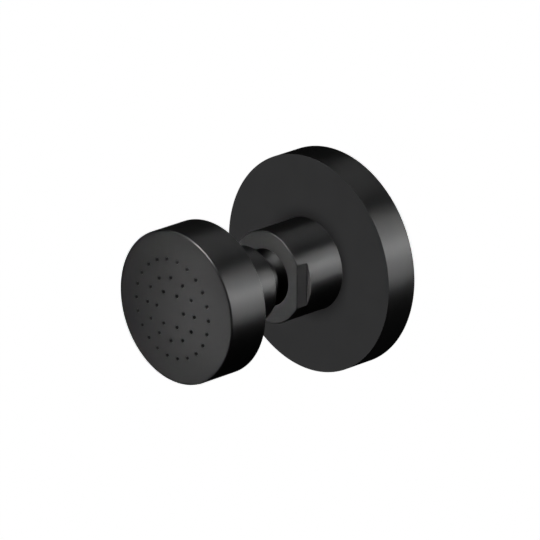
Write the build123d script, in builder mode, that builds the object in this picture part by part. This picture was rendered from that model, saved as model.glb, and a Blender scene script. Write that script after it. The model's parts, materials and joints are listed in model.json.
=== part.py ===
from build123d import *
from math import cos, radians, sin, sqrt
import os

# Shower body jet for a wall.
# The wall is the plane Y = 0, the water comes in along -Y and the jet points along -Y.
# Z is up. All sizes are in millimetres.
# Turned pieces are drawn as half sections: radius from the Y axis, and reach out from the wall.

# Wall flange
flange_radius = 36.0
flange_depth = 11.9
flange_plate = 2.5
flange_rim = 3.6
flange_corner = 1.2
hub_wall = 4.4
hub_setback = 2.5
hub_lip = 2.5
gasket_width = 1.6
gasket_depth = 1.5

# Ball joint
ball_radius = 10.7
ball_setback = 5.5
ball_bore = 4.0
ball_bore_land = 1.8
mouth_clearance = 0.2
seat_wall = 1.5
seat_hole = 6.4
seat_split = 1.0
seat_floor = 1.3
seat_lift = 0.4
pressure_ring_width = 2.8
pressure_ring_height = 2.0

# Socket housing
housing_front = 30.5
housing_wall = 3.1
lip_thickness = 1.2
flat_depth = 1.8
flat_length = 4.5

# Inlet nipple, with a G1/2 thread on its tail
tail_radius = 10.4775
tail_length = 15.0
tail_chamfer = 1.0
inlet_bore = 7.25
outlet_bore = 5.6
outlet_ledge = 1.6
shoulder_thickness = 3.4
spigot_length = 9.0
spigot_thread_length = 5.0
spigot_thread_step = 0.6
spigot_nose = 0.8

# Flow regulator, strainer and the clip that holds them in the nipple
regulator_thickness = 3.2
regulator_groove_radius = 4.2
regulator_groove_width = 1.8
regulator_port_radius = 0.6
regulator_port_count = 6
strainer_rim = 1.4
strainer_cup_radius = 5.6
strainer_cup_depth = 4.0
strainer_sheet = 0.5
strainer_pitch = 0.95
strainer_hole_radius = 0.55
strainer_rows = 5
clip_thickness = 1.0
clip_width = 1.3
clip_groove_depth = 0.7
clip_gap_angle = 40.0

# Stem, with a G3/8 thread, and the washer at its end
stem_radius = 8.331
neck_relief = 0.93
neck_run_in = 0.8
stem_engagement = 11.5
stem_chamfer = 0.6
key_across_flats = 9.0
key_depth = 6.0
washer_thickness = 1.7
washer_hole = 4.6
screen_rebate = 1.0
screen_thickness = 0.4
screen_hole_radius = 0.4
screen_pitch = 0.65
screen_rows = 5

# Head
head_radius = 25.15
head_length = 15.0
head_wall = 2.22
dome_radius = 130.0
face_thickness = 2.0
collar_gap = 8.2
collar_length = 17.4
collar_radius = 12.5
collar_corner = 1.0
water_passage = 4.5
cover_plate = 3.0
cover_skirt_wall = 3.5
cover_thread_length = 4.2
cover_nose = 1.0
pin_hole_radius = 1.5
pin_hole_depth = 1.8
pin_hole_inset = 5.0
distributor_thickness = 1.6
distributor_ledge = 1.1
distributor_hole_radius = 2.2
distributor_hole_count = 8
distributor_boss_radius = 5.0
distributor_boss_height = 2.4

# Jet holes: ring radius and number of holes, from the middle outwards
inner_ring_radius = 6.0
middle_ring_radius = 10.5
outer_ring_radius = 16.2
inner_ring_count = 6
middle_ring_count = 12
outer_ring_count = 22
jet_hole_radius = 0.62
jet_hole_sides = 8

# Seals, edges and clearances
o_ring_depth = 1.6
o_ring_width = 2.2
o_ring_corner = 0.5
edge_break = 0.25
head_edge_break = 0.55
slide_clearance = 0.1
thread_clearance = 0.08
ball_clearance = 0.08
seat_clearance = 0.08
seal_clearance = 0.05
edge_match = 0.0001

# Radii that follow from the driving sizes
chamber_radius = ball_radius + seat_wall
housing_radius = chamber_radius + housing_wall
housing_thread_radius = chamber_radius + spigot_thread_step
seat_radius = chamber_radius - seat_clearance
seat_sphere = ball_radius + ball_clearance
mouth_sphere = ball_radius + mouth_clearance
hub_bore = housing_radius + slide_clearance
hub_radius = hub_bore + hub_wall
ball_rear_radius = ball_bore + ball_bore_land
neck_radius = stem_radius - neck_relief
collar_bore = stem_radius + thread_clearance
shell_bore = head_radius - head_wall
cover_radius = shell_bore - thread_clearance
cover_skirt_radius = cover_radius - cover_skirt_wall
ledge_radius = shell_bore - distributor_ledge
insert_radius = inlet_bore - seal_clearance

# Places along the axis that follow from the driving sizes
ball_reach = housing_front - ball_setback
lip_reach = housing_front - lip_thickness
nipple_front = ball_reach - ball_radius - seat_floor
housing_rear = nipple_front - spigot_length
shoulder_rear = housing_rear - shoulder_thickness
collar_back = housing_front + collar_gap
stem_front = collar_back + stem_engagement
washer_front = stem_front + washer_thickness
head_back = collar_back + collar_length
head_edge = head_back + head_length
dome_centre = head_edge - sqrt(dome_radius**2 - head_radius**2)
cover_groove_front = head_back + cover_thread_length + o_ring_width
cover_front = cover_groove_front + cover_nose
ledge_reach = cover_front + distributor_thickness
outlet_ledge_rear = nipple_front - outlet_ledge
regulator_rear = outlet_ledge_rear - regulator_thickness
strainer_rear = regulator_rear - strainer_rim
clip_rear = strainer_rear - clip_thickness


def half_section(angle):
    """Plane of a half section at an angle from +X: x is the radius and y is the reach."""
    turn = radians(angle)
    return Plane(origin=(0, 0, 0), x_dir=(cos(turn), 0, sin(turn)), z_dir=(sin(turn), 0, -cos(turn)))


def face_plane(reach):
    """Plane across the axis at a reach, facing the room."""
    return Plane(origin=(0, -reach, 0), x_dir=(1, 0, 0), z_dir=(0, -1, 0))


def on_ball(sphere, reach):
    """Half-section point on a sphere about the ball's centre."""
    return (sqrt(sphere**2 - (reach - ball_reach) ** 2), reach)


def on_ball_at(sphere, radius):
    """Half-section point on the rear half of a sphere about the ball's centre."""
    return (radius, ball_reach - sqrt(sphere**2 - radius**2))


def on_dome(radius):
    """Reach of the head's domed face at a radius."""
    return dome_centre + sqrt(dome_radius**2 - radius**2)


def ring_edges(piece, radius):
    """Round edges of one radius, from the room side to the wall side."""
    circles = piece.edges().filter_by(GeomType.CIRCLE)
    return circles.filter_by(lambda edge: abs(edge.radius - radius) < edge_match).sort_by(Axis.Y)


def save(piece, name):
    """Label a finished piece and write it."""
    piece.part.label = name
    export_step(piece.part, f"parts/{name}.step")


def make_flat_ring(name, inner, outer, rear, front):
    """Flat rubber ring between two faces."""
    with BuildPart() as ring:
        with BuildSketch(face_plane(rear)):
            Circle(outer)
            Circle(inner, mode=Mode.SUBTRACT)
        extrude(amount=front - rear)
    save(ring, name)


def make_o_ring(name, inner, outer, rear, front):
    """Rubber O-ring, squeezed in its groove, with its round corners as flats."""
    with BuildPart() as ring:
        with BuildSketch(half_section(0)) as ring_section:
            with Locations(((inner + outer) / 2, (rear + front) / 2)):
                Rectangle(outer - inner, front - rear)
            chamfer(ring_section.vertices(), o_ring_corner)
        revolve(axis=Axis.Y)
    save(ring, name)


os.makedirs("parts", exist_ok=True)
section = half_section(0)

# Wall flange: a deep cup with a hub that slides on the housing
flange_inside = flange_radius - flange_rim
hub_groove_front = hub_setback + hub_lip + o_ring_width
gasket_inner = flange_radius - (flange_rim + gasket_width) / 2
gasket_outer = gasket_inner + gasket_width
hub_groove_radius = hub_bore + o_ring_depth
with BuildPart() as wall_flange:
    with BuildSketch(section):
        with BuildLine():
            Polyline(
                (flange_radius, 0),
                (flange_radius, flange_depth),
                (hub_bore, flange_depth),
                (hub_bore, hub_groove_front),
                (hub_groove_radius, hub_groove_front),
                (hub_groove_radius, hub_setback + hub_lip),
                (hub_bore, hub_setback + hub_lip),
                (hub_bore, hub_setback),
                (hub_radius, hub_setback),
                (hub_radius, flange_depth - flange_plate),
                (flange_inside, flange_depth - flange_plate),
                (flange_inside, 0),
                (gasket_inner, 0),
                (gasket_inner, gasket_depth),
                (gasket_outer, gasket_depth),
                (gasket_outer, 0),
                close=True,
            )
        make_face()
    revolve(axis=Axis.Y)
    chamfer(ring_edges(wall_flange, hub_radius)[0], flange_corner)
    chamfer(ring_edges(wall_flange, flange_inside)[0], flange_corner)
    chamfer(ring_edges(wall_flange, flange_radius), edge_break)
save(wall_flange, "wall_flange")

# Soft square ring in the back of the flange
make_flat_ring(
    "wall_gasket",
    gasket_inner + seal_clearance,
    gasket_outer - seal_clearance,
    0,
    gasket_depth,
)

# Ring in the hub that grips the housing
make_o_ring(
    "flange_o_ring",
    housing_radius + seal_clearance,
    hub_groove_radius - seal_clearance,
    hub_setback + hub_lip,
    hub_groove_front,
)

# Socket housing: the stub, open at the back for the ball, with a round lip at its mouth
thread_end = housing_rear + spigot_thread_length + seat_lift
with BuildPart() as socket_housing:
    with BuildSketch(section):
        with BuildLine():
            mouth_inner = on_ball(mouth_sphere, lip_reach)
            mouth_outer = on_ball(mouth_sphere, housing_front)
            Polyline(
                mouth_outer,
                (housing_radius, housing_front),
                (housing_radius, housing_rear),
                (housing_thread_radius, housing_rear),
                (housing_thread_radius, thread_end),
                (chamber_radius, thread_end),
                (chamber_radius, lip_reach),
                mouth_inner,
            )
            ThreePointArc(mouth_inner, on_ball(mouth_sphere, (lip_reach + housing_front) / 2), mouth_outer)
        make_face()
    revolve(axis=Axis.Y)
    with BuildSketch(face_plane(housing_front)):
        with GridLocations(2 * housing_radius, 1, 2, 1):
            Rectangle(2 * flat_depth, 2 * housing_radius)
    extrude(amount=-flat_length, mode=Mode.SUBTRACT)
    front_face = socket_housing.faces().sort_by(Axis.Y)[0]
    chamfer(front_face.outer_wire().edges(), edge_break)
save(socket_housing, "socket_housing")

# Front seat: plain ring between the ball and the lip, free to turn in the housing
with BuildPart() as front_seat:
    with BuildSketch(section):
        with BuildLine():
            seat_front = on_ball(seat_sphere, lip_reach)
            seat_middle = on_ball(seat_sphere, ball_reach)
            Polyline(seat_front, (seat_radius, lip_reach), (seat_radius, ball_reach), seat_middle)
            ThreePointArc(seat_middle, on_ball(seat_sphere, (ball_reach + lip_reach) / 2), seat_front)
        make_face()
    revolve(axis=Axis.Y)
save(front_seat, "front_seat")

# Rear seat: cup behind the ball, with a rebate for the pressure ring
rear_seat_front = ball_reach - seat_split
rebate_radius = chamber_radius - pressure_ring_width
rebate_reach = nipple_front + pressure_ring_height
with BuildPart() as rear_seat:
    with BuildSketch(section):
        with BuildLine():
            cup_edge = on_ball(seat_sphere, rear_seat_front)
            cup_floor = on_ball_at(seat_sphere, seat_hole)
            Polyline(
                cup_floor,
                (seat_hole, nipple_front + seat_lift),
                (rebate_radius, nipple_front + seat_lift),
                (rebate_radius, rebate_reach),
                (seat_radius, rebate_reach),
                (seat_radius, rear_seat_front),
                cup_edge,
            )
            cup_middle = on_ball_at(seat_sphere, (seat_hole + cup_edge[0]) / 2)
            ThreePointArc(cup_edge, cup_middle, cup_floor)
        make_face()
    revolve(axis=Axis.Y)
save(rear_seat, "rear_seat")

# Ring that the nipple squeezes, so that the rear seat is pressed onto the ball
make_flat_ring(
    "pressure_ring",
    rebate_radius + seal_clearance,
    chamber_radius - seal_clearance,
    nipple_front,
    rebate_reach,
)

# Swivel ball: ball, neck and stem in one piece, bored for the water
with BuildPart() as swivel_ball:
    with BuildSketch(section):
        with BuildLine():
            rear_edge = on_ball_at(ball_radius, ball_rear_radius)
            neck_start = (neck_radius, ball_reach + sqrt(ball_radius**2 - neck_radius**2))
            ThreePointArc(rear_edge, (ball_radius, ball_reach), neck_start)
            Polyline(
                neck_start,
                (neck_radius, collar_back + neck_run_in),
                (stem_radius, collar_back + neck_run_in + neck_relief),
                (stem_radius, stem_front - stem_chamfer),
                (stem_radius - stem_chamfer, stem_front),
                (ball_bore, stem_front),
                (ball_bore, rear_edge[1]),
                rear_edge,
            )
        make_face()
    revolve(axis=Axis.Y)
    with BuildSketch(face_plane(stem_front)):
        RegularPolygon(key_across_flats / 2, 6, major_radius=False)
    extrude(amount=-key_depth, mode=Mode.SUBTRACT)
save(swivel_ball, "swivel_ball")

# Inlet nipple: threaded tail, shoulder behind the housing, and a spigot inside it
spigot_radius = chamber_radius - seal_clearance
spigot_thread_radius = housing_thread_radius - seal_clearance
spigot_groove_radius = spigot_radius - o_ring_depth
spigot_groove_front = nipple_front - spigot_nose
spigot_groove_rear = spigot_groove_front - o_ring_width
spigot_thread_end = housing_rear + spigot_thread_length
shoulder_radius = housing_radius - slide_clearance
clip_groove_radius = inlet_bore + clip_groove_depth
with BuildPart() as inlet_nipple:
    with BuildSketch(section):
        with BuildLine():
            Polyline(
                (inlet_bore, -tail_length),
                (tail_radius - tail_chamfer, -tail_length),
                (tail_radius, tail_chamfer - tail_length),
                (tail_radius, shoulder_rear),
                (shoulder_radius, shoulder_rear),
                (shoulder_radius, housing_rear),
                (spigot_thread_radius, housing_rear),
                (spigot_thread_radius, spigot_thread_end),
                (spigot_radius, spigot_thread_end),
                (spigot_radius, spigot_groove_rear),
                (spigot_groove_radius, spigot_groove_rear),
                (spigot_groove_radius, spigot_groove_front),
                (spigot_radius, spigot_groove_front),
                (spigot_radius, nipple_front),
                (outlet_bore, nipple_front),
                (outlet_bore, outlet_ledge_rear),
                (inlet_bore, outlet_ledge_rear),
                (inlet_bore, strainer_rear),
                (clip_groove_radius, strainer_rear),
                (clip_groove_radius, clip_rear),
                (inlet_bore, clip_rear),
                close=True,
            )
        make_face()
    revolve(axis=Axis.Y)
    with BuildSketch(face_plane(housing_rear)):
        with GridLocations(2 * shoulder_radius, 1, 2, 1):
            Rectangle(2 * flat_depth, 2 * shoulder_radius)
    extrude(amount=-shoulder_thickness, mode=Mode.SUBTRACT)
save(inlet_nipple, "inlet_nipple")

# Seal between the nipple and the housing
make_o_ring(
    "nipple_o_ring",
    spigot_groove_radius + seal_clearance,
    chamber_radius - seal_clearance,
    spigot_groove_rear,
    spigot_groove_front,
)

# Flow regulator: disc with a grooved inlet side and ports through the groove
groove_inner = regulator_groove_radius - regulator_groove_width / 2
groove_outer = regulator_groove_radius + regulator_groove_width / 2
groove_depth = regulator_thickness / 2
with BuildPart() as flow_regulator:
    with BuildSketch(face_plane(regulator_rear)):
        Circle(insert_radius)
    extrude(amount=regulator_thickness)
    with BuildSketch(face_plane(regulator_rear)):
        Circle(groove_outer)
        Circle(groove_inner, mode=Mode.SUBTRACT)
    extrude(amount=groove_depth, mode=Mode.SUBTRACT)
    with BuildSketch(face_plane(regulator_rear)):
        with PolarLocations(regulator_groove_radius, regulator_port_count):
            Circle(regulator_port_radius)
    extrude(amount=regulator_thickness, mode=Mode.SUBTRACT)
save(flow_regulator, "flow_regulator")

# Soft ring that closes on the ports as the pressure rises
make_o_ring(
    "regulator_o_ring",
    groove_inner + seal_clearance,
    groove_outer - seal_clearance,
    regulator_rear,
    regulator_rear + groove_depth,
)

# Strainer: rimmed cup with a perforated end, facing the supply
cup_end = strainer_rear - strainer_cup_depth
with BuildPart() as inlet_strainer:
    with BuildSketch(section):
        with BuildLine():
            Polyline(
                (0, cup_end),
                (strainer_cup_radius, cup_end),
                (strainer_cup_radius, strainer_rear),
                (insert_radius, strainer_rear),
                (insert_radius, regulator_rear),
                (strainer_cup_radius - strainer_sheet, regulator_rear),
                (strainer_cup_radius - strainer_sheet, cup_end + strainer_sheet),
                (0, cup_end + strainer_sheet),
                close=True,
            )
        make_face()
    revolve(axis=Axis.Y)
    with BuildSketch(face_plane(cup_end)):
        with HexLocations(strainer_pitch, strainer_rows, strainer_rows):
            RegularPolygon(strainer_hole_radius, 6)
    extrude(amount=strainer_sheet, mode=Mode.SUBTRACT)
save(inlet_strainer, "inlet_strainer")

# Snap ring under the strainer's rim, with its gap at the bottom
clip_radius = clip_groove_radius - seal_clearance
bottom_angle = -90
with BuildPart() as strainer_clip:
    with BuildSketch(half_section(bottom_angle - clip_gap_angle / 2)):
        with Locations((clip_radius - clip_width / 2, (clip_rear + strainer_rear) / 2)):
            Rectangle(clip_width, clip_thickness)
    revolve(axis=Axis.Y, revolution_arc=360 - clip_gap_angle)
save(strainer_clip, "strainer_clip")

# Head shell: drum with a domed face, bored from the back and drilled square to the dome
jet_rings = [
    (inner_ring_radius, inner_ring_count),
    (middle_ring_radius, middle_ring_count),
    (outer_ring_radius, outer_ring_count),
]
floor_reach = on_dome(ledge_radius) - face_thickness
drill_depth = on_dome(0) - floor_reach + face_thickness


def jet_planes(ring_radius, count):
    """Planes on the domed face, square to it, with one of them on the +X side."""
    planes = []
    for index in range(count):
        turn = radians(360 * index / count)
        spot = Vector(ring_radius * cos(turn), -on_dome(ring_radius), ring_radius * sin(turn))
        planes.append(Plane(origin=spot, z_dir=spot - Vector(0, -dome_centre, 0)))
    return planes


with BuildPart() as head_shell:
    with BuildSketch(face_plane(head_back)):
        Circle(head_radius)
    extrude(amount=on_dome(0) - head_back)
    with Locations((0, -dome_centre, 0)):
        Sphere(dome_radius, mode=Mode.INTERSECT)
    with BuildSketch(face_plane(head_back)):
        Circle(shell_bore)
    extrude(amount=ledge_reach - head_back, mode=Mode.SUBTRACT)
    with BuildSketch(face_plane(ledge_reach)):
        Circle(ledge_radius)
    extrude(amount=floor_reach - ledge_reach, mode=Mode.SUBTRACT)
    dome_face = head_shell.faces().sort_by(Axis.Y)[0]
    chamfer(dome_face.edges() + ring_edges(head_shell, head_radius), head_edge_break)
    for ring_radius, count in jet_rings:
        with BuildSketch(*jet_planes(ring_radius, count)):
            RegularPolygon(jet_hole_radius, jet_hole_sides)
        extrude(amount=drill_depth, both=True, mode=Mode.SUBTRACT)
save(head_shell, "head_shell")

# Back cover: collar for the stem, plate, and a skirt that screws into the shell
cover_groove_rear = head_back + cover_thread_length
cover_groove_radius = cover_radius - o_ring_depth
with BuildPart() as back_cover:
    with BuildSketch(section):
        with BuildLine():
            Polyline(
                (collar_bore, collar_back),
                (collar_radius, collar_back),
                (collar_radius, head_back),
                (cover_radius, head_back),
                (cover_radius, cover_groove_rear),
                (cover_groove_radius, cover_groove_rear),
                (cover_groove_radius, cover_groove_front),
                (cover_radius, cover_groove_front),
                (cover_radius, cover_front),
                (cover_skirt_radius, cover_front),
                (cover_skirt_radius, head_back + cover_plate),
                (water_passage, head_back + cover_plate),
                (water_passage, washer_front),
                (collar_bore, washer_front),
                close=True,
            )
        make_face()
    revolve(axis=Axis.Y)
    fillet(ring_edges(back_cover, collar_radius)[0], collar_corner)
    chamfer(ring_edges(back_cover, collar_radius)[-1], edge_break)
    with BuildSketch(face_plane(head_back)):
        with PolarLocations(cover_radius - pin_hole_inset, 2):
            Circle(pin_hole_radius)
    extrude(amount=pin_hole_depth, mode=Mode.SUBTRACT)
save(back_cover, "back_cover")

# Seal between the cover and the shell
make_o_ring(
    "cover_o_ring",
    cover_groove_radius + seal_clearance,
    shell_bore - seal_clearance,
    cover_groove_rear,
    cover_groove_front,
)

# Distributor: disc clamped between the cover and a ledge in the shell
boss_hole_ring = (distributor_boss_radius + cover_skirt_radius) / 2
with BuildPart() as distributor_disc:
    with BuildSketch(face_plane(cover_front)):
        Circle(cover_radius)
        with PolarLocations(boss_hole_ring, distributor_hole_count):
            Circle(distributor_hole_radius, mode=Mode.SUBTRACT)
    extrude(amount=distributor_thickness)
    with BuildSketch(section):
        with BuildLine():
            Polyline(
                (0, cover_front),
                (distributor_boss_radius, cover_front),
                (0, cover_front - distributor_boss_height),
                close=True,
            )
        make_face()
    revolve(axis=Axis.Y)
save(distributor_disc, "distributor_disc")

# Sealing washer at the end of the stem, with a rebate for the screen
screen_seat = washer_hole + screen_rebate
washer_radius = collar_bore - seal_clearance
with BuildPart() as stem_washer:
    with BuildSketch(section):
        with BuildLine():
            Polyline(
                (screen_seat, stem_front),
                (washer_radius, stem_front),
                (washer_radius, washer_front),
                (washer_hole, washer_front),
                (washer_hole, stem_front + screen_thickness),
                (screen_seat, stem_front + screen_thickness),
                close=True,
            )
        make_face()
    revolve(axis=Axis.Y)
save(stem_washer, "stem_washer")

# Perforated screen in the washer
with BuildPart() as stem_screen:
    with BuildSketch(face_plane(stem_front)):
        Circle(screen_seat - seal_clearance)
        with HexLocations(screen_pitch, screen_rows, screen_rows):
            RegularPolygon(screen_hole_radius, 6, mode=Mode.SUBTRACT)
    extrude(amount=screen_thickness)
save(stem_screen, "stem_screen")
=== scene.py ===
# %% [markdown]
# # A shower body jet, modelled on its CAD frame
# A body jet is a small shower head that stands out from the wall and can be aimed by hand.
# Almost every piece of it is turned on a lathe, so this lesson makes its pieces as a turner would:
# draw half of the section, round its corners, and spin it about the axis.
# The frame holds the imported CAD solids. It gives sizes and places, and it is never changed.

# %% Load the frame
import json
from math import cos, pi, radians, sin, sqrt, tan

import bpy
from mathutils import Matrix, Vector


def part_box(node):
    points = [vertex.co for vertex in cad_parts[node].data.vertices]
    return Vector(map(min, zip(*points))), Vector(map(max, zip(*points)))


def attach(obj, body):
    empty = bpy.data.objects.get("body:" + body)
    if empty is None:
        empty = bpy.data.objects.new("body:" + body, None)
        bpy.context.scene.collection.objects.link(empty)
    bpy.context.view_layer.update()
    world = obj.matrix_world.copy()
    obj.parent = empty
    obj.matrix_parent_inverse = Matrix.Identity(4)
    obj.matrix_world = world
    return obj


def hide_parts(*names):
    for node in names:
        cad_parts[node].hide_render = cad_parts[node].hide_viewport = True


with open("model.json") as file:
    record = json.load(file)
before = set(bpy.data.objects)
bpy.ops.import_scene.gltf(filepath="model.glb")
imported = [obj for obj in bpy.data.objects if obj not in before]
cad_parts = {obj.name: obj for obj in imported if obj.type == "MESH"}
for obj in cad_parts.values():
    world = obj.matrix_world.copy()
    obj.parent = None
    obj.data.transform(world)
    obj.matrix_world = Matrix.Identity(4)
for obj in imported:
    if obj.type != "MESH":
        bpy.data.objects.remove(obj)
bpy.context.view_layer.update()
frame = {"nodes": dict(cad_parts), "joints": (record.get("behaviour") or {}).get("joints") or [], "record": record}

# %% [markdown]
# ## Sizes
# The wall is the plane Y = 0 and the jet points along -Y, so a point of a turned piece is given by
# two numbers: its radius from the Y axis, and its reach out from the wall. Both are in millimetres
# here, as on a workshop drawing. They could all be typed in. Where the box of a CAD node has the
# size, it is read from there instead, so that a frame with other sizes still fits.

# %% Sizes read from the frame
mm = 0.001


def turned_size(node):
    """Radius, rear reach and front reach of a turned CAD node, in millimetres."""
    low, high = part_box(node)
    return max(high.x, high.z) / mm, -high.y / mm, -low.y / mm


flange_radius, flange_rear, flange_front = turned_size("wall_flange")
gasket_radius, gasket_rear, gasket_front = turned_size("wall_gasket")
hub_ring_radius, hub_ring_rear, hub_ring_front = turned_size("flange_o_ring")
stub_radius, stub_rear, stub_front = turned_size("socket_housing")
_, ball_rear, stem_front = turned_size("swivel_ball")
cover_radius, collar_back, cover_front = turned_size("back_cover")
_, cover_ring_rear, cover_ring_front = turned_size("cover_o_ring")
head_radius, head_back, crown = turned_size("head_shell")
washer_radius, _, washer_front = turned_size("stem_washer")
shoulder_radius, tail_end, nipple_front = turned_size("inlet_nipple")
_, nipple_ring_rear, nipple_ring_front = turned_size("nipple_o_ring")
_, _, disc_front = turned_size("distributor_disc")
clip_radius, clip_rear, clip_front = turned_size("strainer_clip")
_, _, regulator_front = turned_size("flow_regulator")

thread_mount = next(mount for mount in frame["record"]["mounts"] if mount["name"] == "inlet_thread")
thread_radius = thread_mount["dims"]["r_mm"]
tilt_joint = next(joint for joint in frame["joints"] if joint["name"] == "tilt")
ball_reach = -tilt_joint["pos_m"][1] / mm
print(f"flange {2 * flange_radius:.1f} mm across, head {2 * head_radius:.1f} mm across")
print(f"ball centre {ball_reach:.2f} mm out from the wall, crown of the face {crown:.2f} mm")

# %% [markdown]
# ## The lathe
# A turned piece could be a cylinder that is inset and extruded ring by ring. A half section is
# shorter, and it reads like the drawing of the piece, so three small helpers do most of the
# modelling. The first starts from a plane, merges it to one point and extrudes that point along the
# half section. The second bevels chosen points of that wire, which gives each edge of the turned
# piece its own small rounding. The third spins the wire about the Y axis. A corner is written as
# radius and reach, with a third number where it is rounded.

# %% Helpers that draw a half section
# Points nearer to each other than this, in metres, are one point
weld = 1e-6
corner_segments = 4


def spot(radius, reach):
    """A half-section point in metres."""
    return Vector((radius * mm, -reach * mm, 0))


def draw_outline(name, corners, closed=True):
    """Draw a half section as a wire, one extruded point after the other."""
    bpy.ops.object.select_all(action="DESELECT")
    bpy.ops.mesh.primitive_plane_add(size=mm)
    piece = bpy.context.object
    piece.name = name
    places = [spot(corner[0], corner[1]) for corner in corners]
    stops = places[1:] + places[:1] if closed else places[1:]
    bpy.ops.object.mode_set(mode="EDIT")
    bpy.ops.mesh.select_mode(type="VERT")
    bpy.ops.mesh.select_all(action="SELECT")
    bpy.ops.mesh.merge(type="CENTER")
    bpy.ops.transform.translate(value=places[0])
    for here, there in zip(places, stops):
        bpy.ops.mesh.extrude_vertices_move(TRANSFORM_OT_translate={"value": there - here})
    bpy.ops.mesh.select_all(action="SELECT")
    bpy.ops.mesh.remove_doubles(threshold=weld)
    bpy.ops.mesh.select_all(action="DESELECT")
    bpy.ops.object.mode_set(mode="OBJECT")
    return piece


def round_corners(piece, corners):
    """Bevel the points of a wire that ask for it, all those of one size at a time."""
    for size in sorted({corner[2] for corner in corners if len(corner) > 2}):
        places = [spot(corner[0], corner[1]) for corner in corners if corner[2:] == (size,)]
        for vertex in piece.data.vertices:
            vertex.select = any((vertex.co - place).length < weld for place in places)
        bpy.ops.object.mode_set(mode="EDIT")
        bpy.ops.mesh.bevel(offset=size * mm, segments=corner_segments, affect="VERTICES")
        bpy.ops.mesh.select_all(action="DESELECT")
        bpy.ops.object.mode_set(mode="OBJECT")


# %% Helpers that spin it into a piece
round_steps = 192


def spin_outline(piece, steps):
    """Spin a wire once round the Y axis, close the seam and turn its faces outwards."""
    bpy.ops.object.mode_set(mode="EDIT")
    bpy.ops.mesh.select_all(action="SELECT")
    bpy.ops.mesh.spin(steps=steps, angle=2 * pi, use_auto_merge=True, center=(0, 0, 0), axis=(0, 1, 0))
    bpy.ops.mesh.select_all(action="SELECT")
    bpy.ops.mesh.remove_doubles(threshold=weld)
    bpy.ops.mesh.normals_make_consistent(inside=False)
    bpy.ops.mesh.select_all(action="DESELECT")
    bpy.ops.object.mode_set(mode="OBJECT")


def turn_piece(name, corners, closed=True, steps=round_steps):
    """Turn a piece from its half section."""
    piece = draw_outline(name, corners, closed)
    round_corners(piece, corners)
    spin_outline(piece, steps)
    return piece


# %% [markdown]
# ## Finishes
# The visible metal is brass under a matt black coat. Such a coat isn't one flat black: it has a very
# fine grain, and its gloss drifts slowly from place to place. An image could hold both, but noise
# nodes need no unwrapping and stay fine from close by. They are in one node group, which the rubber
# and the plastics use as well, with other values. A second group gives the fine rings that a lathe
# tool leaves on bare metal. All patterns read Object coordinates, in metres.

# %% Node helpers
def add_node(tree, kind, **values):
    """Add a node and set its properties, or its input sockets where a name is a socket's."""
    node = tree.nodes.new(kind)
    for name, value in values.items():
        label = name.replace("_", " ").title()
        if label in node.inputs:
            node.inputs[label].default_value = value
        else:
            setattr(node, name, value)
    return node


def new_group(name, inputs, outputs):
    """Start a shader node group with named values going in and out."""
    group = bpy.data.node_groups.new(name, "ShaderNodeTree")
    for label, default in inputs.items():
        socket = group.interface.new_socket(label, in_out="INPUT", socket_type="NodeSocketFloat")
        socket.default_value = default
    for label in outputs:
        group.interface.new_socket(label, in_out="OUTPUT", socket_type="NodeSocketFloat")
    return group, group.nodes.new("NodeGroupInput"), group.nodes.new("NodeGroupOutput")


# %% Node group: grain of a coat, a rubber or a moulded plastic
def make_grain_group():
    """Fine grain for the bump, and a slow drift for the gloss and the colour."""
    defaults = {"Grain Size": 0.0003, "Drift Size": 0.012}
    group, into, out = new_group("fine_grain", defaults, ["Relief", "Drift"])
    place = add_node(group, "ShaderNodeTexCoord")
    for label, size, detail in (("Relief", "Grain Size", 3.0), ("Drift", "Drift Size", 2.0)):
        scale = add_node(group, "ShaderNodeMath", operation="DIVIDE")
        scale.inputs[0].default_value = 1.0
        noise = add_node(group, "ShaderNodeTexNoise", detail=detail, roughness=0.55)
        group.links.new(into.outputs[size], scale.inputs[1])
        group.links.new(place.outputs["Object"], noise.inputs["Vector"])
        group.links.new(scale.outputs["Value"], noise.inputs["Scale"])
        group.links.new(noise.outputs["Fac"], out.inputs[label])
    return group


grain_group = make_grain_group()
print("node group:", grain_group.name)


# %% Node group: rings that a lathe tool leaves
def make_rings_group():
    """Rings that follow radius plus reach, so that they run round sides and end faces alike."""
    group, into, out = new_group("lathe_rings", {"Ring Pitch": 0.00012}, ["Relief", "Drift"])
    place = add_node(group, "ShaderNodeTexCoord")
    parts = add_node(group, "ShaderNodeSeparateXYZ")
    flat = add_node(group, "ShaderNodeCombineXYZ")
    radius = add_node(group, "ShaderNodeVectorMath", operation="LENGTH")
    path = add_node(group, "ShaderNodeMath", operation="SUBTRACT")
    count = add_node(group, "ShaderNodeMath", operation="DIVIDE")
    rings = add_node(group, "ShaderNodeTexNoise", noise_dimensions="1D", scale=1.0, detail=2.0)
    drift = add_node(group, "ShaderNodeTexNoise", scale=160.0, detail=3.0)
    group.links.new(place.outputs["Object"], parts.inputs["Vector"])
    group.links.new(parts.outputs["X"], flat.inputs["X"])
    group.links.new(parts.outputs["Z"], flat.inputs["Z"])
    group.links.new(flat.outputs["Vector"], radius.inputs[0])
    group.links.new(radius.outputs["Value"], path.inputs[0])
    group.links.new(parts.outputs["Y"], path.inputs[1])
    group.links.new(path.outputs["Value"], count.inputs[0])
    group.links.new(into.outputs["Ring Pitch"], count.inputs[1])
    group.links.new(count.outputs["Value"], rings.inputs["W"])
    group.links.new(place.outputs["Object"], drift.inputs["Vector"])
    group.links.new(rings.outputs["Fac"], out.inputs["Relief"])
    group.links.new(drift.outputs["Fac"], out.inputs["Drift"])
    return group


rings_group = make_rings_group()
print("node group:", rings_group.name)

# %% Helper that makes a finish
finishes = {}
drift_low = 0.3
drift_high = 0.7


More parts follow.
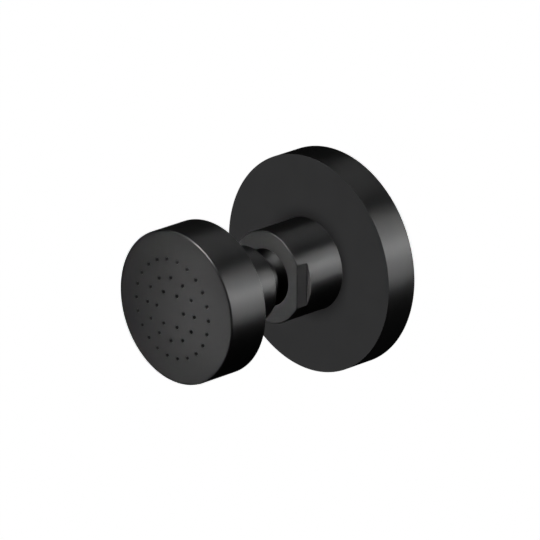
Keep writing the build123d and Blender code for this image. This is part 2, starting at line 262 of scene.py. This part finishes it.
def make_finish(slot, group, values, dark, light, rough, depth, metallic=0.0):
    """A material in which a group's relief makes the bump, and its drift the colour and the gloss."""
    material = bpy.data.materials.new(slot + "_finish")
    material.use_nodes = True
    tree = material.node_tree
    shader = tree.nodes["Principled BSDF"]
    shader.inputs["Metallic"].default_value = metallic
    pattern = add_node(tree, "ShaderNodeGroup", node_tree=group)
    for label, value in values.items():
        pattern.inputs[label].default_value = value
    colour = add_node(tree, "ShaderNodeValToRGB")
    low_stop, high_stop = colour.color_ramp.elements
    low_stop.position = drift_low
    low_stop.color = (*dark, 1.0)
    high_stop.position = drift_high
    high_stop.color = (*light, 1.0)
    gloss = add_node(tree, "ShaderNodeMapRange", from_min=drift_low, from_max=drift_high)
    gloss.inputs["To Min"].default_value = rough[0]
    gloss.inputs["To Max"].default_value = rough[1]
    bump = add_node(tree, "ShaderNodeBump", strength=1.0, distance=depth)
    tree.links.new(pattern.outputs["Drift"], colour.inputs["Fac"])
    tree.links.new(colour.outputs["Color"], shader.inputs["Base Color"])
    tree.links.new(pattern.outputs["Drift"], gloss.inputs["Value"])
    tree.links.new(gloss.outputs["Result"], shader.inputs["Roughness"])
    tree.links.new(pattern.outputs["Relief"], bump.inputs["Height"])
    tree.links.new(bump.outputs["Normal"], shader.inputs["Normal"])
    finishes[slot] = material
    print(material.name, "uses", group.name)


# %% [markdown]
# ### The six finishes
# Matt black coat on all that shows, bare brass where the inlet goes into the wall, black rubber for
# the seals, white acetal for the ball seats, grey plastic for the flow parts and brushed steel for
# the strainer, its clip and the screen. Each is one of the two groups with its own sizes in metres,
# two shades, a span of roughness and a depth of relief.

# %% Matt black coat
make_finish(
    "black_coat",
    grain_group,
    {"Grain Size": 0.00025, "Drift Size": 0.011},
    dark=(0.0169, 0.0169, 0.0172),
    light=(0.0181, 0.0181, 0.0184),
    rough=(0.302, 0.318),
    depth=0.000002,
)

# %% Bare brass and strainer steel
make_finish(
    "bare_brass",
    rings_group,
    {"Ring Pitch": 0.00012},
    dark=(0.60, 0.41, 0.17),
    light=(0.74, 0.55, 0.27),
    rough=(0.24, 0.38),
    depth=0.000004,
    metallic=1.0,
)
make_finish(
    "strainer_steel",
    rings_group,
    {"Ring Pitch": 0.00007},
    dark=(0.50, 0.51, 0.52),
    light=(0.64, 0.65, 0.66),
    rough=(0.28, 0.42),
    depth=0.000003,
    metallic=1.0,
)

# %% Rubber, acetal and grey plastic
make_finish(
    "seal_rubber",
    grain_group,
    {"Grain Size": 0.0004, "Drift Size": 0.006},
    dark=(0.012, 0.012, 0.013),
    light=(0.022, 0.022, 0.023),
    rough=(0.55, 0.7),
    depth=0.00001,
)
make_finish(
    "white_acetal",
    grain_group,
    {"Grain Size": 0.0006, "Drift Size": 0.008},
    dark=(0.78, 0.78, 0.75),
    light=(0.85, 0.85, 0.83),
    rough=(0.35, 0.45),
    depth=0.000004,
)
make_finish(
    "grey_plastic",
    grain_group,
    {"Grain Size": 0.0003, "Drift Size": 0.006},
    dark=(0.29, 0.31, 0.33),
    light=(0.34, 0.36, 0.38),
    rough=(0.42, 0.52),
    depth=0.000006,
)

# %% [markdown]
# ## Handing a piece over
# Each new piece stands for one CAD node: it rides on that node's body, and the node is hidden. Plain
# smooth shading would bend the light on the flat faces too. So edges of more than 24 degrees stay
# sharp, and a Weighted Normal modifier lets the large faces set the normals. They look flat then,
# and all the bending of the light is in the roundings.

# %% Helpers that shade a piece and hand it over
smooth_angle = radians(24)
stand_ins = {}


def make_active(piece):
    """Select one piece and nothing else."""
    bpy.ops.object.select_all(action="DESELECT")
    piece.select_set(True)
    bpy.context.view_layer.objects.active = piece


def apply_modifier(piece, kind, **settings):
    """Add a modifier with its settings and apply it."""
    make_active(piece)
    modifier = piece.modifiers.new(kind.lower(), kind)
    for setting, value in settings.items():
        setattr(modifier, setting, value)
    bpy.ops.object.modifier_apply(modifier=modifier.name)


def hand_over(piece, node, body, slot):
    """Shade a finished piece, give it its finish, and let it stand for its CAD node."""
    make_active(piece)
    bpy.ops.object.shade_smooth_by_angle(angle=smooth_angle)
    apply_modifier(piece, "WEIGHTED_NORMAL", keep_sharp=True)
    piece.data.materials.clear()
    piece.data.materials.append(finishes[slot])
    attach(piece, body)
    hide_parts(node)
    stand_ins[node] = piece
    print(piece.name, "stands for", node, "with", len(piece.data.polygons), "faces")


# %% [markdown]
# ## Wall flange
# The flange is a deep round cup that hides the hole in the wall. A hub inside it slides on the stub,
# a rubber ring in the hub grips it, and a soft gasket sits in a groove in its back. Cut into a
# cylinder, each groove would be a step of its own. One half section holds them all. The edges are
# only just broken, as on the real one, and the corners inside the cup have the tool's radius.

# %% Turn the flange
edge_break = 0.25
fine_break = 0.1
slide_gap = 0.1
seal_gap = 0.05
flange_plate = 2.5
flange_rim = 3.6
inner_corner = 1.2
hub_wall = 4.4
hub_setback = 2.5
gasket_width = 1.6

hub_bore = stub_radius + slide_gap
hub_radius = hub_bore + hub_wall
hub_groove = hub_ring_radius + seal_gap
cup_radius = flange_radius - flange_rim
cup_floor = flange_front - flange_plate
gasket_groove = gasket_radius + seal_gap

flange = turn_piece(
    "turned_flange",
    [
        (flange_radius, flange_rear, edge_break),
        (flange_radius, flange_front, fine_break),
        (hub_bore, flange_front, fine_break),
        (hub_bore, hub_ring_front),
        (hub_groove, hub_ring_front),
        (hub_groove, hub_ring_rear),
        (hub_bore, hub_ring_rear),
        (hub_bore, hub_setback, edge_break),
        (hub_radius, hub_setback, edge_break),
        (hub_radius, cup_floor, inner_corner),
        (cup_radius, cup_floor, inner_corner),
        (cup_radius, flange_rear, fine_break),
        (gasket_groove - gasket_width, flange_rear, fine_break),
        (gasket_groove - gasket_width, gasket_front),
        (gasket_groove, gasket_front),
        (gasket_groove, flange_rear, fine_break),
    ],
)
hand_over(flange, "wall_flange", "wall_side", "black_coat")

# %% Turn the wall gasket
gasket = turn_piece(
    "wall_gasket_ring",
    [
        (gasket_radius, gasket_rear, fine_break),
        (gasket_radius, gasket_front, fine_break),
        (gasket_groove - gasket_width + seal_gap, gasket_front, fine_break),
        (gasket_groove - gasket_width + seal_gap, gasket_rear, fine_break),
    ],
)
hand_over(gasket, "wall_gasket", "wall_side", "seal_rubber")

# %% [markdown]
# ## Stub with its spanner flats
# The stub holds the ball: it is open at the back, and at the front a round lip keeps the ball in.
# Two flats at the mouth take a spanner, with which the jet is screwed into the wall. Spinning makes
# no flats, so the stub starts as a plain bar, and a Boolean modifier cuts them with two boxes.
# A cut leaves razor-sharp edges. A Bevel modifier would choose edges by their angle, with some that
# should stay as they are, so the front edge and the inside corners of the flats are chosen by their
# place and bevelled in edit mode. That works best on a simple shape, so the bore is cut last.

# %% Helpers for a plain bar and its cuts
level_angle = radians(1)


def plain_bar(name, radius, rear, front):
    """A solid round bar whose ends are single faces, so that later cuts stay clean."""
    piece = turn_piece(name, [(0, front), (radius, front), (radius, rear), (0, rear)], closed=False)
    bpy.ops.object.mode_set(mode="EDIT")
    bpy.ops.mesh.select_all(action="SELECT")
    bpy.ops.mesh.dissolve_limited(angle_limit=level_angle)
    bpy.ops.object.mode_set(mode="OBJECT")
    return piece


def cut_away(piece, cutter):
    """Cut one shape out of a piece, then throw the cutter away."""
    apply_modifier(piece, "BOOLEAN", operation="DIFFERENCE", solver="EXACT", object=cutter)
    bpy.data.objects.remove(cutter)


def join_cutters(cutters):
    """Join several cutters, so that one Boolean does for all of them."""
    bpy.ops.object.select_all(action="DESELECT")
    for cutter in cutters:
        cutter.select_set(True)
    bpy.context.view_layer.objects.active = cutters[0]
    bpy.ops.object.join()
    return bpy.context.object


def flat_cutter(radius, front, length, depth):
    """Two boxes for flats on the +X and -X sides, which stand well out of the round piece."""
    boxes = []
    for side in (1, -1):
        middle = Vector((side * (radius + depth), length / 2 - front - depth, 0))
        bpy.ops.object.select_all(action="DESELECT")
        bpy.ops.mesh.primitive_cube_add(size=1, location=middle * mm)
        bpy.ops.transform.resize(value=(4 * depth * mm, (length + 2 * depth) * mm, 4 * radius * mm))
        bpy.ops.object.transform_apply(location=True, rotation=True, scale=True)
        boxes.append(bpy.context.object)
    return join_cutters(boxes)


# %% Helpers that clean and round what a cut leaves
edge_segments = 5


def merge_slivers(piece, gap):
    """Merge points that a cut has left almost on top of each other."""
    make_active(piece)
    bpy.ops.object.mode_set(mode="EDIT")
    bpy.ops.mesh.select_all(action="SELECT")
    bpy.ops.mesh.remove_doubles(threshold=gap * mm)
    bpy.ops.object.mode_set(mode="OBJECT")


def round_edges(piece, width, chosen):
    """Bevel the edges whose ends both pass a test, which gets distance from X = 0, reach and height."""
    make_active(piece)
    places = [vertex.co / mm for vertex in piece.data.vertices]
    points = [Vector((abs(place.x), -place.y, place.z)) for place in places]
    bpy.ops.object.mode_set(mode="EDIT")
    bpy.ops.mesh.select_mode(type="EDGE")
    bpy.ops.mesh.select_all(action="DESELECT")
    bpy.ops.object.mode_set(mode="OBJECT")
    for edge in piece.data.edges:
        edge.select = all(chosen(points[index]) for index in edge.vertices)
    print(piece.name, "rounds", sum(edge.select for edge in piece.data.edges), "edges by", width, "mm")
    bpy.ops.object.mode_set(mode="EDIT")
    bpy.ops.mesh.bevel(offset=width * mm, segments=edge_segments, affect="EDGES", clamp_overlap=False)
    bpy.ops.mesh.select_all(action="SELECT")
    bpy.ops.mesh.remove_doubles(threshold=weld)
    bpy.ops.object.mode_set(mode="OBJECT")


# %% Cut the flats from a bar and round their edges
flat_depth = 1.8
flat_length = 4.5
stub_edge = 0.4
step_corner = 0.35
sliver_gap = 0.06

flat_reach = stub_radius - flat_depth
step_reach = stub_front - flat_length


def at_mouth(point):
    """Whether a point lies on the stub's front edge."""
    return abs(point.y - stub_front) < sliver_gap


def at_step(point):
    """Whether a point lies in the corner where a flat ends."""
    return abs(point.y - step_reach) < sliver_gap and abs(point.x - flat_reach) < sliver_gap


stub = plain_bar("spanner_stub", stub_radius, stub_rear, stub_front)
cut_away(stub, flat_cutter(stub_radius, stub_front, flat_length, flat_depth))
merge_slivers(stub, sliver_gap)
round_edges(stub, stub_edge, at_mouth)
round_edges(stub, step_corner, at_step)

# %% Bore the stub
ball_radius = 10.7
mouth_gap = 0.2
mouth_break = 0.12
mouth_steps = 4
lip_thickness = 1.2
stub_wall = 3.1
stub_thread_step = 0.6
stub_thread_length = 5.4
overshoot = 1.0


def ball_arc(sphere, start, stop, count):
    """Half-section points on a sphere about the ball's centre, between two reaches."""
    reaches = [start + (stop - start) * index / count for index in range(count + 1)]
    return [(sqrt(sphere**2 - (reach - ball_reach) ** 2), reach) for reach in reaches]


chamber_radius = stub_radius - stub_wall
stub_thread_radius = chamber_radius + stub_thread_step
lip_reach = stub_front - lip_thickness
mouth = ball_arc(ball_radius + mouth_gap, lip_reach, stub_front - mouth_break, mouth_steps)
mouth_radius = mouth[-1][0]
stub_bore = turn_piece(
    "stub_bore",
    [
        (0, stub_rear - overshoot),
        (stub_thread_radius, stub_rear - overshoot),
        (stub_thread_radius, stub_rear + stub_thread_length),
        (chamber_radius, stub_rear + stub_thread_length),
        (chamber_radius, lip_reach),
    ]
    + mouth
    + [
        (mouth_radius + mouth_break, stub_front),
        (mouth_radius + mouth_break, stub_front + overshoot),
        (0, stub_front + overshoot),
    ],
    closed=False,
)
cut_away(stub, stub_bore)
hand_over(stub, "socket_housing", "wall_side", "black_coat")

# %% [markdown]
# ## Ball, neck and stem
# One turned piece: the ball sits in the stub, its neck comes out through the mouth, and its stem
# goes into the collar of the head. A bore takes the water through it, and a six-sided socket in its
# end takes the key that screws it in. A sphere, a tube and a rod could be joined, but the corner
# between ball and neck shows, and in a half section it takes its rounding like any other corner.

# %% Turn the ball
stem_radius = 8.331
neck_radius = 7.4
neck_run_in = 0.8
neck_rounding = 0.35
stem_chamfer = 0.6
water_bore = 4.0
screen_gap = 0.02
ball_steps = 40

stem_end = stem_front - screen_gap
neck_start = ball_reach + sqrt(ball_radius**2 - neck_radius**2)
neck_end = collar_back + neck_run_in
ball = turn_piece(
    "ball_and_neck",
    ball_arc(ball_radius, ball_rear, neck_start, ball_steps)[:-1]
    + [
        (neck_radius, neck_start, neck_rounding),
        (neck_radius, neck_end),
        (stem_radius, neck_end + stem_radius - neck_radius),
        (stem_radius, stem_end - stem_chamfer),
        (stem_radius - stem_chamfer, stem_end),
        (water_bore, stem_end),
        (water_bore, ball_rear),
    ],
)
print(f"the neck leaves the ball {neck_start - ball_reach:.2f} mm from the ball's centre")

# %% Cut its key socket
key_sides = 6
key_across_flats = 9.0
key_depth = 6.0

bpy.ops.object.select_all(action="DESELECT")
bpy.ops.mesh.primitive_cylinder_add(
    vertices=key_sides,
    radius=key_across_flats / 2 / cos(pi / key_sides) * mm,
    depth=2 * key_depth * mm,
    location=(0, -stem_end * mm, 0),
    rotation=(pi / 2, 0, 0),
)
bpy.ops.object.transform_apply(location=True, rotation=True, scale=True)
cut_away(ball, bpy.context.object)
hand_over(ball, "swivel_ball", "ball", "black_coat")

# %% [markdown]
# ## Collar and back of the head
# The collar and the round back are one piece. The collar screws onto the stem, and a skirt inside
# the head screws into the shell with a rubber ring behind its thread. Two small blind holes in the
# back take a pin spanner. They could be drawn into the faces of the back, but a turned drill and a
# Boolean give them a round wall, a floor and a broken edge at once.

# %% Turn the back cover
collar_radius = 12.5
collar_corner = 0.2
collar_foot = 0.25
water_passage = 4.5
cover_plate = 3.0
skirt_wall = 3.5
o_ring_depth = 1.6

collar_bore = washer_radius + seal_gap
cover_groove = cover_radius - o_ring_depth
skirt_radius = cover_radius - skirt_wall
cover = turn_piece(
    "collar_and_back",
    [
        (collar_bore, collar_back, edge_break),
        (collar_radius, collar_back, collar_corner),
        (collar_radius, head_back, collar_foot),
        (cover_radius, head_back, fine_break),
        (cover_radius, cover_ring_rear),
        (cover_groove, cover_ring_rear),
        (cover_groove, cover_ring_front),
        (cover_radius, cover_ring_front),
        (cover_radius, cover_front, fine_break),
        (skirt_radius, cover_front, fine_break),
        (skirt_radius, head_back + cover_plate, inner_corner),
        (water_passage, head_back + cover_plate),
        (water_passage, washer_front),
        (collar_bore, washer_front),
    ],
)
print(f"the collar stands {head_back - collar_back:.2f} mm out of the back of the head")

# %% Drill its pin holes
pin_hole_radius = 1.5
pin_hole_depth = 1.8
pin_hole_inset = 5.0
pin_hole_steps = 32
ahead = Vector((0, -1, 0))


def copy_to(piece, place, direction):
    """Copy a cutter that was turned on the Y axis to a place, with its -Y end in a direction."""
    make_active(piece)
    bpy.ops.object.duplicate()
    twin = bpy.context.object
    turn = ahead.rotation_difference(direction).to_matrix().to_4x4()
    twin.matrix_world = Matrix.Translation(place) @ turn
    bpy.ops.object.transform_apply(location=True, rotation=True, scale=True)
    return twin


pin_drill = turn_piece(
    "pin_drill",
    [
        (0, pin_hole_depth),
        (pin_hole_radius, pin_hole_depth),
        (pin_hole_radius, fine_break),
        (pin_hole_radius + fine_break, 0),
        (pin_hole_radius + fine_break, -pin_hole_depth),
        (0, -pin_hole_depth),
    ],
    closed=False,
    steps=pin_hole_steps,
)
pin_ring = cover_radius - pin_hole_inset
pin_drills = [copy_to(pin_drill, spot(side * pin_ring, head_back), ahead) for side in (1, -1)]
bpy.data.objects.remove(pin_drill)
cut_away(cover, join_cutters(pin_drills))
hand_over(cover, "back_cover", "head", "black_coat")

# %% [markdown]
# ## Head shell with its jet holes
# The shell is a drum with a slightly domed face. The water leaves through forty small holes in three
# rings, each drilled square to the dome, so that the jets spread a little. A bump map could show
# them from afar, but real holes stay dark at every angle. One drill is turned, with a slight flare
# where it enters the face, and copied to every hole.

# %% Turn the shell
head_length = 15.0
head_wall = 2.22
dome_radius = 130.0
dome_steps = 16
face_thickness = 2.0
disc_ledge = 1.1
head_edge_break = 0.55

head_edge = head_back + head_length
dome_centre = crown - dome_radius
shell_bore = head_radius - head_wall
ledge_radius = shell_bore - disc_ledge


def on_dome(radius):
    """Reach of the domed face at a radius."""
    return dome_centre + sqrt(dome_radius**2 - radius**2)


dome_radii = [head_radius * step / dome_steps for step in range(dome_steps)]
face_floor = on_dome(ledge_radius) - face_thickness
shell = turn_piece(
    "drilled_head",
    [(radius, on_dome(radius)) for radius in dome_radii]
    + [
        (head_radius, head_edge, head_edge_break),
        (head_radius, head_back, edge_break),
        (shell_bore, head_back, fine_break),
        (shell_bore, disc_front),
        (ledge_radius, disc_front),
        (ledge_radius, face_floor),
        (0, face_floor),
    ],
    closed=False,
)
print(f"the face rises {crown - head_edge:.2f} mm from its edge to its crown")

# %% Drill the jets
jet_rings = ((6.0, 6), (10.5, 12), (16.2, 22))
jet_radius = 0.62
jet_flare = 0.06
jet_steps = 24
drill_depth = 6.0
fine_sliver = 0.004

jet_drill = turn_piece(
    "jet_drill",
    [
        (0, overshoot),
        (jet_radius + jet_flare, overshoot),
        (jet_radius + jet_flare, 0),
        (jet_radius, -jet_flare),
        (jet_radius, -drill_depth),
        (0, -drill_depth),
    ],
    closed=False,
    steps=jet_steps,
)
jets = []
for ring_radius, count in jet_rings:
    for index in range(count):
        turn = 2 * pi * index / count
        place = Vector((ring_radius * cos(turn), -on_dome(ring_radius), ring_radius * sin(turn)))
        outward = (place - Vector((0, -dome_centre, 0))).normalized()
        jets.append(copy_to(jet_drill, place * mm, outward))
bpy.data.objects.remove(jet_drill)
print(len(jets), "jet holes")
cut_away(shell, join_cutters(jets))
merge_slivers(shell, fine_sliver)
hand_over(shell, "head_shell", "head", "black_coat")

# %% [markdown]
# ## Inlet tail
# The brass tail carries the pipe thread that goes into the wall: 14 turns to the inch, cut with a
# 55 degree tool, right-handed. A spun section can only make rings, and rings don't screw in. So the
# groove is a closed wire of the tool's shape, wound up with a Screw modifier and cut out of the
# turned body. It starts beyond the end of the tail and runs out into a relief beside the shoulder,
# as on a lathe.

# %% Turn the tail
inlet_bore = 7.25
outlet_bore = 5.6
tail_chamfer = 1.0
thread_depth = 1.162
shoulder_thickness = 3.4
relief_length = 2.6
spigot_thread_length = 5.0
clip_play = 0.05

thread_root = thread_radius - thread_depth
relief_radius = thread_root - fine_break
shoulder_rear = stub_rear - shoulder_thickness
relief_end = shoulder_rear - relief_length
spigot_radius = chamber_radius - seal_gap
spigot_thread_radius = stub_thread_radius - seal_gap
spigot_groove = spigot_radius - o_ring_depth
clip_groove = clip_radius + clip_play
tail = turn_piece(
    "threaded_tail",
    [
        (inlet_bore, tail_end, edge_break),
        (thread_radius - tail_chamfer, tail_end),
        (thread_radius, tail_end + tail_chamfer),
        (thread_radius, relief_end),
        (relief_radius, relief_end + thread_radius - relief_radius),
        (relief_radius, shoulder_rear, edge_break),
        (shoulder_radius, shoulder_rear, edge_break),
        (shoulder_radius, stub_rear, fine_break),
        (spigot_thread_radius, stub_rear),
        (spigot_thread_radius, stub_rear + spigot_thread_length),
        (spigot_radius, stub_rear + spigot_thread_length),
        (spigot_radius, nipple_ring_rear),
        (spigot_groove, nipple_ring_rear),
        (spigot_groove, nipple_ring_front),
        (spigot_radius, nipple_ring_front),
        (spigot_radius, nipple_front),
        (outlet_bore, nipple_front),
        (outlet_bore, regulator_front),
        (inlet_bore, regulator_front),
        (inlet_bore, clip_front),
        (clip_groove, clip_front),
        (clip_groove, clip_rear),
        (inlet_bore, clip_rear),
    ],
)
cut_away(tail, flat_cutter(shoulder_radius, stub_rear, shoulder_thickness, flat_depth))
print(f"the tail reaches {-tail_end:.1f} mm into the wall")

# %% Wind up the thread's groove
thread_pitch = 1.814
thread_angle = 55.0
thread_turns = 9
thread_steps = 64
groove_lift = 0.4
groove_flare = 0.04

thread_start = tail_end - thread_pitch
root_flat = thread_pitch / 6
root_half = root_flat / 2
crest_half = root_half + thread_depth * tan(radians(thread_angle / 2))
clear_half = crest_half + groove_flare
thread_groove = draw_outline(
    "thread_groove",
    [
        (thread_root, thread_start - root_half),
        (thread_radius, thread_start - crest_half),
        (thread_radius + groove_lift, thread_start - clear_half),
        (thread_radius + groove_lift, thread_start + clear_half),
        (thread_radius, thread_start + crest_half),
        (thread_root, thread_start + root_half),
    ],
)
# The angle is negative because a positive one winds a left-handed thread here
apply_modifier(
    thread_groove,
    "SCREW",
    axis="Y",
    angle=-2 * pi,
    screw_offset=-thread_pitch * mm,
    iterations=thread_turns,
    steps=thread_steps,
    render_steps=thread_steps,
    use_merge_vertices=True,
)
print(thread_turns, "turns of", thread_pitch, "mm")

# %% Close its ends and cut the thread
bpy.ops.object.mode_set(mode="EDIT")
bpy.ops.mesh.select_all(action="DESELECT")
bpy.ops.mesh.select_non_manifold()
bpy.ops.mesh.edge_face_add()
bpy.ops.mesh.select_all(action="SELECT")
bpy.ops.mesh.normals_make_consistent(inside=False)
bpy.ops.object.mode_set(mode="OBJECT")
cut_away(tail, thread_groove)
merge_slivers(tail, fine_sliver)
hand_over(tail, "inlet_nipple", "wall_side", "bare_brass")

# %% [markdown]
# ## Inner pieces
# Seats, seals, regulator, strainer, washer, screen and distributor are hidden or nearly so. They
# could be modelled anew as well, but their CAD solids already have the right shape, so they only get
# their finishes.

# %% Give the carried-over nodes their finishes
inner_solids = []
for subpart in frame["record"]["subparts"]:
    if subpart["node"] not in stand_ins:
        solid = frame["nodes"][subpart["node"]]
        solid.material_slots[0].material = finishes[subpart["material_slot"]]
        inner_solids.append(solid)
        print(subpart["node"], "keeps its solid, in", subpart["material_slot"])

# %% [markdown]
# ## Floor and background
# The photograph has a plain white ground. A white world could give that, but it would also light the
# jet from all sides and turn its black coat grey. So the world is white for the camera alone and
# black for every other ray, and the pale floor, far below the jet, glows white and shows in no
# reflection. The sizes of floor and softboxes are in metres.

# %% Floor
floor_drop = 1.2
floor_size = 30.0
paper_colour = (0.9, 0.9, 0.9, 1.0)
paper_glow = 1.0
white = (1.0, 1.0, 1.0, 1.0)

bpy.ops.object.select_all(action="DESELECT")
bpy.ops.mesh.primitive_plane_add(size=floor_size, location=(0, 0, -floor_drop))
floor = bpy.context.object
floor.name = "studio_floor"
floor.visible_diffuse = False
floor.visible_glossy = False
paper = bpy.data.materials.new("white_paper")
paper.use_nodes = True
paper_shader = paper.node_tree.nodes["Principled BSDF"]
paper_shader.inputs["Base Color"].default_value = paper_colour
paper_shader.inputs["Emission Color"].default_value = white
paper_shader.inputs["Emission Strength"].default_value = paper_glow
floor.data.materials.append(paper)
print(f"floor {floor_drop:.1f} m below the jet")

# %% Background
black = (0.0, 0.0, 0.0, 1.0)

world = bpy.data.worlds.new("white_studio")
bpy.context.scene.world = world
world.use_nodes = True
sky = world.node_tree
seen = sky.nodes["Background"]
seen.inputs["Color"].default_value = white
unlit = add_node(sky, "ShaderNodeBackground", color=black)
ray = add_node(sky, "ShaderNodeLightPath")
choose = add_node(sky, "ShaderNodeMixShader")
sky.links.new(ray.outputs["Is Camera Ray"], choose.inputs["Fac"])
sky.links.new(unlit.outputs["Background"], choose.inputs[1])
sky.links.new(seen.outputs["Background"], choose.inputs[2])
sky.links.new(choose.outputs["Shader"], sky.nodes["World Output"].inputs["Surface"])
bpy.context.scene.view_settings.view_transform = "Standard"
print("world:", world.name)

# %% [markdown]
# ## Camera
# The photograph is taken from about two metres, from the right and a little above. A near camera
# with a short lens would show the same side of the jet, but it would make the head too large beside
# the flange. A long lens at this distance gives the weak perspective of the photograph. Its length
# follows from the width that the picture shows at the jet.

# %% Camera
camera_turn = 44.909
camera_rise = 19.508
camera_distance = 2000.0
frame_width = 171.87
sensor = 36.0
view_depth = 100_000.0
aim = Vector((0.03, -29.09, 2.09))

turn = radians(camera_turn)
rise = radians(camera_rise)
backwards = Vector((sin(turn) * cos(rise), -cos(turn) * cos(rise), sin(rise)))
bpy.ops.object.camera_add(
    location=(aim + backwards * camera_distance) * mm,
    rotation=(pi / 2 - rise, 0, turn),
)
camera = bpy.context.object
camera.data.sensor_width = sensor
camera.data.lens = sensor * camera_distance / frame_width
camera.data.clip_end = view_depth * mm
bpy.context.scene.camera = camera
print(f"lens {camera.data.lens:.0f} mm at {camera_distance * mm:.1f} m")

# %% [markdown]
# ## Lights
# A black piece shows little more than what it mirrors, so each softbox is placed for the surfaces
# that mirror it towards the camera. In the photograph no piece throws a shadow on another: the stub
# shines right up to the flange. Plain lamps would throw such shadows, so light linking is used: a
# light names the pieces that it falls on and the pieces that may stand in its way. The shell stands
# in the way of all its own lights, so that its jet holes stay dark, and the stub in the way of the
# flange's own light, which leaves a soft dark ring round its foot. A light that names only the floor
# there has nothing in its way, and one that names nothing there is blocked by every piece.

# %% Sets of pieces that the lights name
def new_set(name, pieces):
    """A collection that a light can name."""
    named = bpy.data.collections.new(name)
    for piece in pieces:
        named.objects.link(piece)
    print(name, "holds", len(pieces), "pieces")
    return named


turned_outside = new_set("turned_outside", [flange, stub, cover, shell])
middle_pieces = new_set("middle_pieces", [stub, cover])
unshaded = new_set("unshaded", [flange, stub, ball, cover])
flange_and_collar = new_set("flange_and_collar", [flange, cover])
flange_only = new_set("flange_only", [flange])
stub_only = new_set("stub_only", [stub])
ball_only = new_set("ball_only", [ball])
shell_only = new_set("shell_only", [shell])
floor_only = new_set("floor_only", [floor])
all_others = new_set("all_others", inner_solids + [gasket, tail])

# The black pieces don't mirror or tint each other in the photograph
for piece in (flange, stub, ball, cover, shell):
    piece.visible_glossy = False
    piece.visible_diffuse = False

# %% Helper that sets up a softbox
light_distance = 1.5


def add_softbox(name, direction, falls_on, blocked_by, size, glow, shows="gloss"):
    """A softbox in a direction from the jet, of a size in metres.

    Its glow is its brightness as seen. It shows in a surface's gloss, lights its body, or does both.
    """
    away = Vector(direction).normalized()
    middle = aim * mm + away * light_distance
    facing = away.to_track_quat("Z", "Y").to_euler()
    bpy.ops.object.light_add(type="AREA", location=middle, rotation=facing)
    light = bpy.context.object
    light.name = name
    light.data.shape = "RECTANGLE"
    light.data.size, light.data.size_y = size
    light.data.energy = glow * pi * size[0] * size[1]
    light.visible_camera = False
    light.visible_glossy = shows != "body"
    light.visible_diffuse = shows != "gloss"
    light.data.cycles.use_multiple_importance_sampling = False
    light.light_linking.receiver_collection = falls_on
    light.light_linking.blocker_collection = blocked_by


# %% [markdown]
# ### Softboxes behind and in front
# A bright softbox behind the jet on the right, with a brighter core, draws the band along the round
# sides, and a weaker one behind and above lights their upper parts. The ball takes about half of
# them. Two in front on the left are mirrored by the faces, and one straight ahead lights their body.

# %% Softboxes behind and in front
behind_right = (0.724, 0.668, 0.172)
behind_above = (-0.095, 0.668, 0.738)
front_left = (-0.604, -0.72, -0.342)
front_middle = (-0.337, -0.925, -0.174)

for pieces, level in ((turned_outside, 1.0), (ball_only, 0.55)):
    add_softbox("right_softbox", behind_right, pieces, shell_only, size=(1.0, 1.4), glow=2.45 * level)
    add_softbox("right_core", behind_right, pieces, shell_only, size=(1.0, 0.3), glow=3.16 * level)
    add_softbox("upper_softbox", behind_above, pieces, shell_only, size=(1.0, 1.4), glow=0.39 * level)
for pieces, shade, level in ((middle_pieces, floor_only, 1.05), (shell_only, shell_only, 1.0)):
    add_softbox("left_softbox", front_left, pieces, shade, size=(1.2, 1.6), glow=0.572 * level)
    add_softbox("front_softbox", front_middle, pieces, shade, size=(1.2, 1.2), glow=0.901 * level)
    add_softbox("face_softbox", ahead, pieces, shade, size=(0.7, 0.7), glow=1.65, shows="body")

# %% [markdown]
# ### Softboxes of single pieces
# Strong ones overhead draw the bright lines on the front edges of head and stub. The ball has a
# broad one with a core, for its soft round highlight. The head's face has one more for views from
# the other side, and the flange one that lights its body.

# %% Softboxes of single pieces
over_head = (0.02, -0.34, 0.94)
over_stub = (-0.02, -0.5, 0.866)
over_ball = (0.07, -0.31, 0.94)
front_right = (0.62, -0.72, -0.3)

add_softbox("head_overhead", over_head, shell_only, shell_only, size=(0.8, 0.9), glow=23.0)
add_softbox("stub_overhead", over_stub, stub_only, floor_only, size=(1.1, 0.9), glow=13.0)
add_softbox("ball_softbox", over_ball, ball_only, floor_only, size=(1.9, 1.9), glow=0.85)
add_softbox("ball_core", over_ball, ball_only, floor_only, size=(0.7, 0.7), glow=2.2)
add_softbox("far_softbox", front_right, shell_only, shell_only, size=(1.2, 1.2), glow=0.35)
add_softbox("flange_softbox", ahead, flange_only, stub_only, size=(0.7, 0.7), glow=28.0, shows="body")

# %% [markdown]
# ### Softboxes for the back and the sides
# Seen from elsewhere, much of the jet would still be plain black. A few softboxes behind, above and
# at both sides show its form there, and the photograph's view hardly mirrors them. The brass tail,
# the gasket and the inner pieces have their own.

# %% Softboxes for the back and the sides
behind = (0.0, 1.0, 0.0)
behind_tail = (0.05, 1.0, 0.15)
behind_high = (0.45, 0.8, 0.5)
front_above = (0.0, -0.66, 0.75)

add_softbox("rear_softbox", behind_high, all_others, None, size=(1.2, 1.0), glow=2.0, shows="both")
add_softbox("back_softbox", behind_tail, all_others, None, size=(0.8, 0.8), glow=1.2, shows="both")
for pieces, shade in ((unshaded, floor_only), (shell_only, shell_only)):
    add_softbox("back_softbox", behind, pieces, shade, size=(0.25, 0.25), glow=220.0, shows="body")
add_softbox("collar_softbox", front_above, flange_and_collar, floor_only, size=(1.0, 0.8), glow=1.2)
for side in (1, -1):
    above_side = (0.5 * side, 0.0, 0.866)
    tail_side = (0.75 * side, 0.3, 0.55)
    add_softbox("side_softbox", above_side, turned_outside, shell_only, size=(1.0, 0.9), glow=1.2)
    add_softbox("tail_softbox", tail_side, all_others, None, size=(1.0, 1.0), glow=2.5, shows="both")

# %% Finish
print("scene set up")
